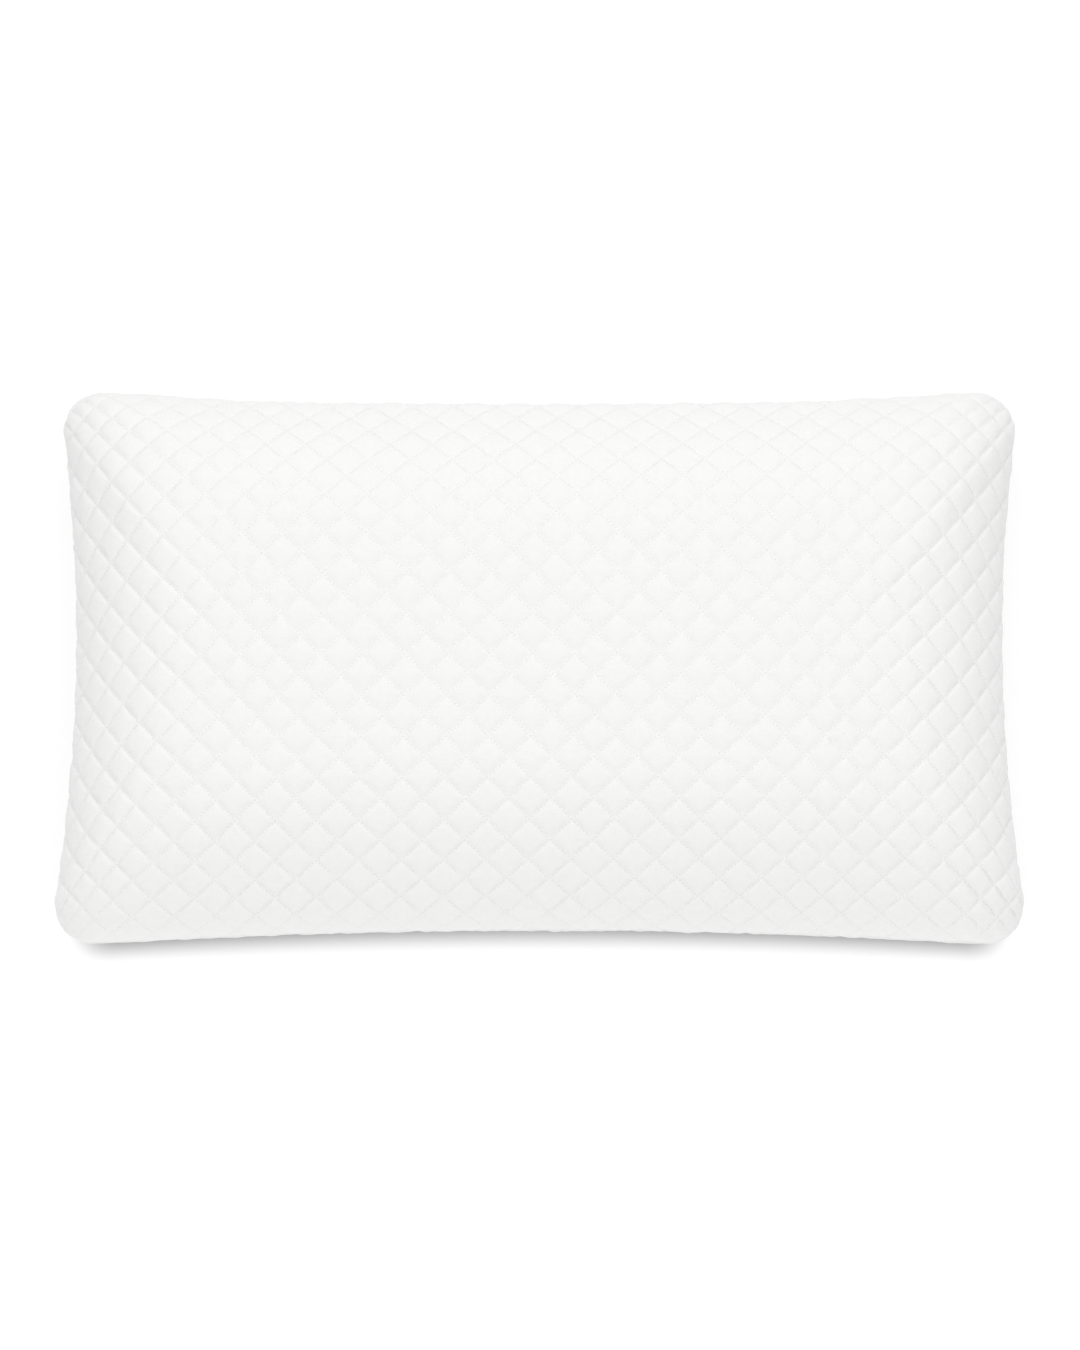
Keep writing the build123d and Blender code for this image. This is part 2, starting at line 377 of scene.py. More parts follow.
def wavy(along, seed, longest, shortest, count=9):
    """A smooth random line between -1 and 1."""
    rng = np.random.default_rng(seed)
    total = np.zeros_like(along)
    for k in range(count):
        length = longest * (shortest / longest) ** (k / (count - 1))
        total += np.sin(2 * np.pi * along / length + rng.uniform(0, 2 * np.pi)) / count**0.5
    return total


def grid_faces(nx, ny, side, offset=0):
    i, j = np.meshgrid(np.arange(nx), np.arange(ny), indexing="ij")
    a = i * (ny + 1) + j
    quads = np.stack([a, a + ny + 1, a + ny + 2, a + 1], axis=-1).reshape(-1, 4) + offset
    return quads if side == 1 else quads[:, ::-1]


def boundary(nx, ny):
    """The grid's edge points in order, once round."""
    def at(i, j):
        return i * (ny + 1) + j

    loop = [at(i, 0) for i in range(nx)]
    loop += [at(nx, j) for j in range(ny)]
    loop += [at(i, ny) for i in range(nx, 0, -1)]
    loop += [at(0, j) for j in range(ny, 0, -1)]
    return loop


def new_object(name, data):
    made = bpy.data.objects.new(name, data)
    scene.collection.objects.link(made)
    return made


def make_mesh(name, points, faces, maps=None):
    mesh = bpy.data.meshes.new(name)
    mesh.from_pydata(points.tolist(), [], faces)
    for map_name, values in (maps or {}).items():
        layer = mesh.uv_layers.new(name=map_name)
        loops = np.zeros(len(mesh.loops), dtype=np.int32)
        mesh.loops.foreach_get("vertex_index", loops)
        layer.data.foreach_set("uv", values[loops].astype(np.float32).ravel())
    mesh.polygons.foreach_set("use_smooth", [True] * len(mesh.polygons))
    mesh.update()
    return new_object(name, mesh)


# ---------------- materials
def math_node(tree, operation, *values):
    """A math node fed with numbers or with other nodes' outputs."""
    node = tree.nodes.new("ShaderNodeMath")
    node.operation = operation
    for slot, value in zip(node.inputs, values):
        if isinstance(value, (int, float)):
            slot.default_value = value
        else:
            tree.links.new(value, slot)
    return node.outputs["Value"]


def smooth_range(tree, value, span, low, high):
    """A value eased from low to high as it goes over the span."""
    node = tree.nodes.new("ShaderNodeMapRange")
    node.interpolation_type = "SMOOTHSTEP"
    node.inputs["From Min"].default_value, node.inputs["From Max"].default_value = span
    node.inputs["To Min"].default_value, node.inputs["To Max"].default_value = low, high
    tree.links.new(value, node.inputs["Value"])
    return node.outputs["Result"]


def place_parts(tree, space):
    """The X, Y and Z of the place that is shaded."""
    place = tree.nodes.new("ShaderNodeTexCoord")
    parts = tree.nodes.new("ShaderNodeSeparateXYZ")
    tree.links.new(place.outputs[space], parts.inputs["Vector"])
    return parts.outputs


def noise_node(tree, size, detail, roughness=0.5):
    """A noise in the piece's own space, with features of the given size."""
    place = tree.nodes.new("ShaderNodeTexCoord")
    noise = tree.nodes.new("ShaderNodeTexNoise")
    noise.inputs["Scale"].default_value = 1 / size
    noise.inputs["Detail"].default_value = detail
    noise.inputs["Roughness"].default_value = roughness
    tree.links.new(place.outputs["Object"], noise.inputs["Vector"])
    return noise.outputs["Fac"]


def uneven_colour(tree, shader, colour, darkest, palest, pattern):
    """Lets a pattern vary the colour between a darker and a paler tone of it."""
    tint = tree.nodes.new("ShaderNodeMix")
    tint.data_type = "RGBA"
    tint.inputs["A"].default_value = (*[c * darkest for c in colour], 1)
    tint.inputs["B"].default_value = (*[min(c * palest, 1) for c in colour], 1)
    tree.links.new(pattern, tint.inputs["Factor"])
    tree.links.new(tint.outputs["Result"], shader.inputs["Base Color"])


def bumpy(tree, shader, strength, distance, height):
    bump = tree.nodes.new("ShaderNodeBump")
    bump.inputs["Strength"].default_value = strength
    bump.inputs["Distance"].default_value = distance
    tree.links.new(height, bump.inputs["Height"])
    tree.links.new(bump.outputs["Normal"], shader.inputs["Normal"])


def new_material(name, colour, roughness):
    material = bpy.data.materials.new(name)
    material.use_nodes = True
    shader = material.node_tree.nodes["Principled BSDF"]
    shader.inputs["Base Color"].default_value = (*colour, 1)
    shader.inputs["Roughness"].default_value = roughness
    return material, shader


def cloth_material(name, colour, roughness, sheen, fineness):
    """A white knit: rows of loops, fuzz and a faint unevenness of colour."""
    material, shader = new_material(name, colour, roughness)
    tree = material.node_tree
    shader.inputs["Sheen Weight"].default_value = sheen
    shader.inputs["Sheen Roughness"].default_value = 0.5
    shader.inputs["Specular IOR Level"].default_value = 0.25
    fuzz = noise_node(tree, 2.2 * MM / fineness, 4, 0.7)
    uneven_colour(tree, shader, colour, 0.975, 1.025, noise_node(tree, 6 * MM, 5, 0.6))
    place = tree.nodes.new("ShaderNodeTexCoord")
    loops = tree.nodes.new("ShaderNodeTexVoronoi")
    loops.inputs["Scale"].default_value = fineness / (1.1 * MM)
    tree.links.new(place.outputs["Object"], loops.inputs["Vector"])
    bumpy(tree, shader, 0.6, 0.3 * MM, math_node(tree, "ADD", fuzz, loops.outputs["Distance"]))
    return material


def hard_material(name, colour, roughness, grain):
    """Moulded plastic or enamelled metal: a faint orange peel, and a colour that isn't quite even."""
    material, shader = new_material(name, colour, roughness)
    tree = material.node_tree
    bumpy(tree, shader, 0.35, 0.1 * MM, noise_node(tree, grain, 3))
    uneven_colour(tree, shader, colour, 0.93, 1.05, noise_node(tree, 4 * MM, 5))
    return material


def add_stitch_holes_and_painted_shade(material):
    """Needle holes along the quilted lines, sunk, with painted shade darkening their colour, from the map of
    the line numbers.
    """
    tree = material.node_tree
    shader = tree.nodes["Principled BSDF"]
    lines = tree.nodes.new("ShaderNodeUVMap")
    lines.uv_map = "stitches"
    parts = tree.nodes.new("ShaderNodeSeparateXYZ")
    tree.links.new(lines.outputs["UV"], parts.inputs["Vector"])
    holes = []
    for number, order in (("X", "Y"), ("Y", "X")):
        within = math_node(tree, "FRACT", math_node(tree, "ADD", parts.outputs[number], 0.5))
        away = math_node(tree, "ABSOLUTE", math_node(tree, "SUBTRACT", within, 0.5))
        near = smooth_range(tree, away, (HOLE_CORE / LINE_SPACING, HOLE_REACH / LINE_SPACING), 1, 0)
        turn = math_node(tree, "MULTIPLY", parts.outputs[order], 2 * math.pi * STITCHES_PER_SIDE)
        beat = math_node(tree, "SUBTRACT", math_node(tree, "COSINE", turn), 0.1)
        hole = math_node(tree, "SMOOTH_MAX", beat, 0.0, 0.2)
        holes.append(math_node(tree, "MULTIPLY", near, hole))
    holes = math_node(tree, "MAXIMUM", *holes)
    # painted shade: the cloth's colour is multiplied darker in the needle holes
    painted_hole_shade = tree.nodes.new("ShaderNodeMix")
    painted_hole_shade.data_type = "RGBA"
    painted_hole_shade.blend_type = "MULTIPLY"
    painted_hole_shade.inputs["B"].default_value = (HOLE_SHADE, HOLE_SHADE, HOLE_SHADE, 1)
    tree.links.new(holes, painted_hole_shade.inputs["Factor"])
    tree.links.new(shader.inputs["Base Color"].links[0].from_socket, painted_hole_shade.inputs["A"])
    tree.links.new(painted_hole_shade.outputs["Result"], shader.inputs["Base Color"])
    bump = shader.inputs["Normal"].links[0].from_node
    cloth = bump.inputs["Height"].links[0].from_socket
    sunk = math_node(tree, "MULTIPLY", holes, HOLE_SINK)
    tree.links.new(math_node(tree, "SUBTRACT", cloth, sunk), bump.inputs["Height"])


WHITE = (0.80, 0.80, 0.795)
cover_cloth = cloth_material("quilted_knit_cloth", WHITE, 0.92, 0.25, 1.0)
add_stitch_holes_and_painted_shade(cover_cloth)
thread_cloth = cloth_material("white_thread", (0.85, 0.85, 0.845), 0.6, 0.1, 2.0)
core_foam = cloth_material("moulded_foam", (0.86, 0.82, 0.70), 0.9, 0.0, 0.8)
liner_cloth = cloth_material("liner_jersey", (0.8, 0.8, 0.79), 0.9, 0.2, 1.5)
tape_cloth = cloth_material("zip_tape_weave", (0.8, 0.8, 0.795), 0.85, 0.1, 1.5)
label_cloth = cloth_material("label_satin", (0.85, 0.85, 0.84), 0.45, 0.3, 2.0)
coil_plastic = hard_material("zip_coil_plastic", (0.78, 0.78, 0.77), 0.35, 0.3 * MM)
slider_enamel = hard_material("slider_enamel", (0.75, 0.75, 0.745), 0.3, 0.6 * MM)

# ---------------- the cover
window_half = tape_high.x + 0.8 * MM
WINDOW_HALF_HEIGHT = 6.5 * MM
WINDOW_TAPER = 3.5 * MM
WINDOW_REACH = 40 * MM


def zip_slit_for(height, width):
    """Moves the rings of a panel back from the seam where the zip's window is."""
    start = Profile(height, width).run_at_rise(WINDOW_HALF_HEIGHT)

    def slit(along, run):
        opening = start * smooth_step((window_half - np.abs(along)) / WINDOW_TAPER)
        return np.where(run < WINDOW_REACH, opening + run * (1 - opening / WINDOW_REACH), run)

    return slit


def swell(points, side, cap):
    """Blows the coarse form of a panel up as cloth held at its edge. Returns how far each point moves."""
    coarse = points[::COARSE, ::COARSE]
    nx, ny = coarse.shape[0] - 1, coarse.shape[1] - 1
    balloon = make_mesh("swelling", coarse.reshape(-1, 3), grid_faces(nx, ny, side).tolist())
    held = balloon.vertex_groups.new(name="held")
    held.add(boundary(nx, ny), 1.0, "REPLACE")
    cloth = balloon.modifiers.new("cloth", "CLOTH")
    cloth.settings.quality = 5
    cloth.settings.mass = 0.3
    cloth.settings.tension_stiffness = 40
    cloth.settings.compression_stiffness = 40
    cloth.settings.shear_stiffness = 20
    cloth.settings.bending_stiffness = 3
    cloth.settings.vertex_group_mass = "held"
    cloth.settings.use_pressure = True
    cloth.settings.uniform_pressure_force = 4
    cloth.settings.effector_weights.gravity = 0
    cloth.point_cache.frame_start = 1
    cloth.point_cache.frame_end = SWELL_FRAMES
    for moment in range(1, SWELL_FRAMES + 1):
        scene.frame_set(moment)
    blown = balloon.evaluated_get(bpy.context.evaluated_depsgraph_get()).data
    moved = np.zeros(len(blown.vertices) * 3)
    blown.vertices.foreach_get("co", moved)
    moved = moved.reshape(coarse.shape) - coarse
    mesh = balloon.data
    bpy.data.objects.remove(balloon)
    bpy.data.meshes.remove(mesh)
    scene.frame_set(1)
    length = np.linalg.norm(moved, axis=-1, keepdims=True)
    moved = moved * cap / (cap + length)
    # back to the fine grid, evenly between the coarse points, then smoothed
    for axis in (0, 1):
        count = moved.shape[axis]
        where = np.arange((count - 1) * COARSE + 1) / COARSE
        low = np.minimum(where.astype(int), count - 2)
        share = (where - low).reshape((-1, 1, 1) if axis == 0 else (1, -1, 1))
        moved = np.take(moved, low, axis=axis) * (1 - share) + np.take(moved, low + 1, axis=axis) * share
    for axis in (0, 1, 0, 1):
        half = COARSE // 2
        pad = [(0, 0)] * 3
        pad[axis] = (half + 1, half)
        total = np.cumsum(np.pad(moved, pad, mode="edge"), axis=axis)
        high = np.take(total, np.arange(2 * half + 1, total.shape[axis]), axis=axis)
        low = np.take(total, np.arange(0, total.shape[axis] - 2 * half - 1), axis=axis)
        moved = (high - low) / (2 * half + 1)
    return moved


def outward_swell(panel):
    """How far the flanks swell out, and how much each point belongs to the hem beside the zip."""
    across = np.minimum((panel.x / SWELL_CORNER) ** 2, 1)
    front = SWELL_FRONT[0] + SWELL_FRONT[1] * across
    back = SWELL_BACK[0] + SWELL_BACK[1] * across
    weight = panel.out_y**2
    amount = np.where(panel.out_y < 0, front, back) * weight + SWELL_END * panel.out_x**2
    at_back = panel.out_y > BACK_FROM
    hem = smooth_step((window_half + HEM_BEYOND - np.abs(panel.x)) / HEM_BLEND) * at_back
    calm = smooth_step((window_half + CALM_BEYOND - np.abs(panel.x)) / CALM_BEYOND) * at_back
    near = np.exp(-(((panel.edge_run - SWELL_PLACE) / SWELL_SPREAD) ** 2))
    return amount * near * (1 - calm * np.exp(-((panel.edge_run / HEM_WIDTH) ** 2))), hem


def build_cover(name, side, height, width, node, seed, cell):
    """One quilted panel of the cover, with all that the stitches and the label need to know of it."""
    panel = Panel(side, height, width, cell=cell, zip_slit=zip_slit_for(height, width))
    normal, edge_run = panel.normal, panel.edge_run
    amount, hem = outward_swell(panel)
    base = panel.points() + normal * amount[..., None]
    base = base + swell(base, side, SWELL_CAP)
    p, q = quilt_lines(panel.u, panel.v, node)
    # the quilting fades towards the seam, most of all at the front
    plain = np.where(panel.out_y < FRONT_FROM, PLAIN_AT_FRONT, PLAIN_ELSEWHERE)
    at_end = smooth_step((np.abs(panel.out_x) - END_FROM) / END_REACH)
    plain = plain * (1 - END_NARROWER * at_end)
    least = LEAST_QUILTING + LEAST_QUILTING_MORE_AT_END * at_end
    fade = least + (1 - least) * smooth_step(edge_run / plain)
    mean_puff = 0.7 * EDGE_PUFF + 0.5 * DOME_PUFF
    lift = (quilt_height(p, q, seed) - mean_puff) * fade
    # puckers along the seam, and slight unevenness over the whole panel
    around = np.arctan2(panel.y / HALF_DEPTH, panel.x / HALF_LENGTH) * MEAN_RADIUS
    pucker = wavy(around, seed + 1, 45 * MM, 9 * MM) * PUCKER * np.exp(-edge_run / PUCKER_REACH)
    broad = wavy(panel.x + 0.6 * panel.y, seed + 2, 260 * MM, 90 * MM, 5)
    broad = broad * wavy(panel.y - 0.4 * panel.x, seed + 3, 200 * MM, 80 * MM, 5)
    small = wavy(panel.u + 0.5 * panel.v, seed + 4, 14 * MM, 5 * MM, 7)
    small = small * wavy(panel.v - 0.7 * panel.u, seed + 5, 12 * MM, 4 * MM, 7)
    lift = lift + pucker + broad * BROAD_WAVE + small * SMALL_WAVE * smooth_step(edge_run / (20 * MM))
    inwards = SEAM_DEPTH * np.exp(-((edge_run / SEAM_WIDTH) ** 1.6)) * (1 - 0.6 * hem)
    furrow = hem * np.exp(-(((edge_run - HEM_STITCH_INSET) / (1.3 * MM)) ** 2))
    points = base + normal * (lift - HEM_FURROW * furrow)[..., None]
    points[..., 0] -= panel.out_x * inwards
    points[..., 1] -= panel.out_y * inwards
    points[..., 2] += side * SEAM_GAP / 2
    if side == -1:
        points[..., 2] = np.maximum(points[..., 2], FLOOR_CLEARANCE)
    # the inside of the panel, four times coarser
    thin = hem * smooth_step((34 * MM - edge_run) / (12 * MM))
    thickness = COVER_THICKNESS + (HEM_THICKNESS - COVER_THICKNESS) * thin
    inside = (base - normal * thickness[..., None])[::4, ::4]
    outer_count = (panel.nx + 1) * (panel.ny + 1)
    inx, iny = panel.nx // 4, panel.ny // 4
    faces = grid_faces(panel.nx, panel.ny, side).tolist()
    faces += grid_faces(inx, iny, -side, outer_count).tolist()
    outer_loop = boundary(panel.nx, panel.ny)
    inner_loop = [outer_count + k for k in boundary(inx, iny)]
    for k, here in enumerate(inner_loop):
        there = inner_loop[(k + 1) % len(inner_loop)]
        outer = [outer_loop[(4 * k + m) % len(outer_loop)] for m in range(5)]
        rim = [here, there, *outer[::-1]]
        faces.append(rim if side == 1 else rim[::-1])
    everything = np.concatenate([points.reshape(-1, 3), inside.reshape(-1, 3)])
    maps = {}
    for map_name, pair in (("cloth", (panel.u, panel.v)), ("stitches", (p, q))):
        place = np.stack(pair, axis=-1)
        maps[map_name] = np.concatenate([place.reshape(-1, 2), place[::4, ::4].reshape(-1, 2)])
    piece = make_mesh(name, everything, faces, maps)
    piece.data.materials.append(cover_cloth)
    return piece, points, p, q, panel, base


def line_points(points, normals, number, order, usable, whole):
    """Where one stitched line crosses the mesh, in order along the line."""
    found, facing, rank = [], [], []
    for first, second in ((np.s_[:-1], np.s_[1:]), (np.s_[:, :-1], np.s_[:, 1:])):
        a, b = number[first] - whole, number[second] - whole
        hit = (a * b <= 0) & (np.abs(a - b) > 1e-9) & usable[first] & usable[second]
        t = (a[hit] / (a[hit] - b[hit]))[:, None]
        found.append(points[first][hit] * (1 - t) + points[second][hit] * t)
        facing.append(normals[first][hit] * (1 - t) + normals[second][hit] * t)
        rank.append(order[first][hit] * (1 - t[:, 0]) + order[second][hit] * t[:, 0])
    found, facing, rank = np.concatenate(found), np.concatenate(facing), np.concatenate(rank)
    by_rank = np.argsort(rank)
    return found[by_rank], facing[by_rank], rank[by_rank]


def stitches_along(path, facing, order, size):
    """Small grains of thread, one for each stitch between two needle holes, along a path on the cloth."""
    first = math.ceil(order[0] * STITCHES_PER_SIDE) + 1
    last = math.floor(order[-1] * STITCHES_PER_SIDE) - 1
    if last - first < 3:
        return np.zeros((0, GRAIN_CORNERS, 3))
    middle = (np.arange(first, last) + 0.5) / STITCHES_PER_SIDE
    reach = 0.3 / STITCHES_PER_SIDE
    here = columns_at(path, middle, order)
    ahead = columns_at(path, middle + reach, order) - columns_at(path, middle - reach, order)
    ahead /= np.maximum(np.linalg.norm(ahead, axis=1, keepdims=True), 1e-9)
    up = columns_at(facing, middle, order)
    up -= ahead * np.sum(up * ahead, axis=1, keepdims=True)
    up /= np.maximum(np.linalg.norm(up, axis=1, keepdims=True), 1e-9)
    across = np.cross(up, ahead)
    length, width, height, lift = size
    return grain_corners(here + up * lift, ahead * length / 2, across * width / 2, up * height / 2)


def grain_corners(centre, along, across, up):
    """The corners of short rounded bars: a broad waist, with a narrower top and bottom."""
    corners = []
    for level, share in ((-1, 0.6), (0, 1.0), (1, 0.6)):
        for a, b in ((-1, -1), (1, -1), (1, 1), (-1, 1)):
            corners.append(centre + up * level + (along * a + across * b) * share)
    return np.stack(corners, axis=1)


GRAIN = [(3, 2, 1, 0), (8, 9, 10, 11)]
for low in (0, 4):
    GRAIN += [(k + low, (k + 1) % 4 + low, (k + 1) % 4 + low + 4, k + low + 4) for k in range(4)]
GRAIN_CORNERS = 12


def columns_at(values, where, order):
    """Each column of values, read between its rows."""
    return np.stack([np.interp(where, order, column) for column in values.T], axis=-1)


def grain_faces(count, offset=0):
    first = offset + GRAIN_CORNERS * np.arange(count)
    return (np.array(GRAIN)[None] + first[:, None, None]).reshape(-1, 4)


def grains_mesh(name, grains):
    grains = np.concatenate(grains)
    faces = grain_faces(len(grains))
    piece = make_mesh(name, grains.reshape(-1, 3), faces.tolist())
    piece.data.polygons.foreach_set("use_smooth", [False] * len(faces))
    piece.data.materials.append(thread_cloth)
    return piece


def quilt_stitches(name, made):
    """The thread on a panel: its quilted lines, and the hem beside the zip."""
    _, points, p, q, panel, _ = made
    usable = panel.edge_run > np.where(panel.out_y < FRONT_FROM, *STITCHES_FROM)
    grains = []
    for number, order in ((p, q), (q, p)):
        for whole in range(int(np.ceil(number.min())), int(np.floor(number.max())) + 1):
            path, facing, rank = line_points(points, panel.normal, number, order, usable, whole)
            if len(path) > 4:
                grains.append(stitches_along(path, facing, rank, QUILT_GRAIN))
    # the line of larger stitches that holds the hem to the zip's tape
    ring = int(np.argmin(np.abs(panel.edge_run[panel.nx // 2, ::-1] - HEM_STITCH_INSET)))
    row = panel.ny - ring
    along = np.abs(panel.x[:, row]) < window_half - 3 * MM
    path, facing = points[along, row], panel.normal[along, row]
    run = np.concatenate([[0], np.cumsum(np.linalg.norm(np.diff(path, axis=0), axis=1))])
    order = run / (HEM_STITCH_PITCH * STITCHES_PER_SIDE)
    grains.append(stitches_along(path, facing, order, HEM_GRAIN))
    return grains_mesh(name, grains)


top_height = TOP - SEAM_HEIGHT - 2 * MM
bottom_height = SEAM_HEIGHT - base_low.z
top_made = build_cover("cover_top", 1, top_height, SHOULDER_ABOVE, QUILT_NODE, RANDOM_SEED, TOP_CELL)
bottom_made = build_cover(
    "cover_bottom", -1, bottom_height, SHOULDER_BELOW, BOTTOM_QUILT_NODE, RANDOM_SEED + 40, BOTTOM_CELL
)
cover_top, cover_bottom = top_made[0], bottom_made[0]
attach(cover_top, "pillow")
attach(cover_bottom, "pillow")
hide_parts("cover_top_face", "cover_top_wadding", "cover_top_backing")
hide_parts("cover_bottom_face", "cover_bottom_wadding", "cover_bottom_backing")

for name, made in (("quilting_thread_top", top_made), ("quilting_thread_bottom", bottom_made)):
    threads = quilt_stitches(name, made)
    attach(threads, "pillow")

# ---------------- seams, label, zip and filling
def thick_grid(name, grid, thickness, material):
    """A closed sheet of even thickness on a grid of points."""
    normal = np.cross(np.gradient(grid, axis=0), np.gradient(grid, axis=1))
    normal /= np.maximum(np.linalg.norm(normal, axis=-1, keepdims=True), 1e-12)
    nx, ny = grid.shape[0] - 1, grid.shape[1] - 1
    outer = (grid + normal * thickness / 2).reshape(-1, 3)
    inner = (grid - normal * thickness / 2).reshape(-1, 3)
    count = len(outer)
    faces = grid_faces(nx, ny, 1).tolist() + grid_faces(nx, ny, -1, count).tolist()
    loop = boundary(nx, ny)
    faces += [(b, a, a + count, b + count) for a, b in zip(loop, loop[1:] + loop[:1])]
    piece = make_mesh(name, np.concatenate([outer, inner]), faces)
    piece.data.materials.append(material)
    return piece


def tube_faces(count, around):
    """The faces of a tube of rings of points, with its two ends closed."""
    k, m = np.meshgrid(np.arange(count - 1), np.arange(around), indexing="ij")
    a, b = k * around + m, k * around + (m + 1) % around
    faces = np.stack([a, b, b + around, a + around], axis=-1).reshape(-1, 4).tolist()
    return faces + [tuple(range(around - 1, -1, -1)), tuple(range((count - 1) * around, count * around))]


def seam_outline(inset, samples):
    """The line of a seam as points and outward directions, in order once round."""
    share = np.linspace(-1, 1, samples, endpoint=False)
    inward = np.zeros(samples)
    lengths = (HALF_LENGTH, HALF_DEPTH)
    x, y, nx, ny = side_points(inward, share, *lengths, LONG_SIDE_DIP, SHORT_SIDE_DIP, inset)
    back = (x, y, nx, ny)
    y2, x2, ny2, nx2 = side_points(inward, share, *lengths[::-1], SHORT_SIDE_DIP, LONG_SIDE_DIP, inset)
    right = (x2, -y2, nx2, -ny2)
    front = (-x, -y, -nx, -ny)
    left = (-x2, y2, -nx2, ny2)
    joined = [np.concatenate(parts) for parts in zip(back, right, front, left)]
    return np.stack(joined[:2], axis=-1), np.stack(joined[2:], axis=-1)


def even_run(points, spacing):
    """Places at an even spacing along a line of points, as fractional indices."""
    step = np.linalg.norm(np.diff(points, axis=0, append=points[-1:]), axis=1)
    run = np.concatenate([[0], np.cumsum(step)])
    count = round(run[-1] / spacing)
    return np.interp(np.arange(count) * run[-1] / count, run, np.arange(len(run)))


def seam_ring(name, inset, pull_in, radius, stitch, opening):
    """A sewn seam: a rolled edge with a thread over it at each stitch, open where the zip is."""
    line, outward = seam_outline(inset, 900)
    start = int(np.argmin(np.abs(line[:, 0] - opening) + 10 * (line[:, 1] < 0)))
    line, outward = np.roll(line, -start, axis=0), np.roll(outward, -start, axis=0)
    open_end = (line[:, 1] > 0) & (np.abs(line[:, 0]) < opening)
    line, outward = line[~open_end], outward[~open_end]
    line = line - outward * pull_in
    order = np.arange(len(line))
    where = even_run(line, 1.5 * MM)
    path, out = columns_at(line, where, order), columns_at(outward, where, order)
    angles = np.arange(8) * np.pi / 4
    ring = path[:, None, :] + out[:, None, :] * (np.cos(angles) * radius)[None, :, None]
    height = np.broadcast_to(SEAM_HEIGHT + np.sin(angles) * radius, ring.shape[:2])
    points = np.concatenate([ring, height[..., None]], axis=-1)
    points = points.reshape(-1, 3)
    faces = tube_faces(len(path), len(angles))
    # the threads, standing across the seam
    where = even_run(line, stitch)[2:-2]
    path, out = columns_at(line, where, order), columns_at(outward, where, order)
    out /= np.linalg.norm(out, axis=1, keepdims=True)
    flat = np.zeros(len(path))
    ahead = np.stack([out[:, 1], -out[:, 0], flat], axis=-1)
    out = np.stack([out[:, 0], out[:, 1], flat], axis=-1)
    centre = np.concatenate([path, np.full((len(path), 1), SEAM_HEIGHT)], axis=1) + out * radius * 0.9
    up = np.array([0, 0, 1.0])
    grains = grain_corners(centre, up * radius * 1.1, ahead * 0.35 * MM, out * 0.25 * MM)
    faces += grain_faces(len(grains), len(points)).tolist()
    piece = make_mesh(name, np.concatenate([points, grains.reshape(-1, 3)]), faces)
    piece.data.materials.append(thread_cloth)
    return piece


seam = seam_ring("side_seam_stitching", 0.0, SEAM_DEPTH + 0.3 * MM, 0.9 * MM, 2.4 * MM, window_half)
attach(seam, "pillow")
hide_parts("side_seam")

# the care label: a ribbon folded in half, caught in the seam and lying down the back
RIBBON = 0.25 * MM
label_x = (label_low.x + label_high.x) / 2
label_half = (label_high.x - label_low.x) / 2
label_drop = SEAM_HEIGHT - label_low.z


def label_ribbon():
    """The folded ribbon's middle surface, as a grid, and the length of each of its two halves."""
    *_, panel, base = bottom_made
    rings = np.arange(0, panel.rings // 2)
    down = panel.edge_run[panel.nx // 4, panel.ny - rings]
    across = np.linspace(-1, 1, 13)
    turn = np.linspace(0, np.pi, 9)[1:-1]
    steps = np.linspace(0.4 * MM, Profile(bottom_height, SHOULDER_BELOW).run_at_rise(label_drop), 30)
    lines = []
    for k, x in enumerate(across * label_half + label_x):
        rows = [base[ring : panel.nx - ring + 1, panel.ny - ring] for ring in rings]
        y = [np.interp(x, row[:, 0], row[:, 1]) for row in rows]
        z = [np.interp(x, row[:, 0], row[:, 2]) for row in rows]
        line = np.stack([np.interp(steps, down, y), np.interp(steps, down, z)], axis=-1)
        slope = np.gradient(line, axis=0)
        slope /= np.linalg.norm(slope, axis=1, keepdims=True)
        away = np.stack([-slope[:, 1], slope[:, 0]], axis=-1)
        part = steps / steps[-1]
        wave = 0.5 * MM * np.sin(3.1 * across[k] + 2.5 * part) * part
        # it comes out of the groove of the seam and then lies on the puffs of the quilting
        lift = 1.5 * MM * smooth_step(steps / (7 * MM)) - 2.4 * MM * np.exp(-((steps / (2.5 * MM)) ** 2))
        lift = lift + 1.2 * MM * part**2 + wave
        gap = 0.3 * MM + 0.5 * MM * part**2
        outer = line + away * (lift + gap)[:, None]
        inner = line + away * (lift - gap)[:, None]
        middle, arm = (outer[-1] + inner[-1]) / 2, (outer[-1] - inner[-1]) / 2
        ahead = slope[-1] * np.linalg.norm(arm)
        bend = middle + np.cos(turn)[:, None] * arm + np.sin(turn)[:, None] * ahead
        section = np.concatenate([outer, bend, inner[::-1]])
        lines.append(np.concatenate([np.full((len(section), 1), x), section], axis=1))
    return np.stack(lines), float(steps[-1])


ribbon, ribbon_run = label_ribbon()
label = thick_grid("care_label_ribbon", ribbon, RIBBON, label_cloth)
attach(label, "pillow")
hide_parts("care_label")

# the zip's coils: one wound filament on each tape
COIL_PITCH = 1.55 * MM
COIL_WIRE = 0.34 * MM
coil_y = (coil_low.y + coil_high.y) / 2
coil_depth = (coil_high.y - coil_low.y) / 2 - COIL_WIRE
coil_reach = (coil_high.z - SEAM_HEIGHT + 0.15 * MM) / 2


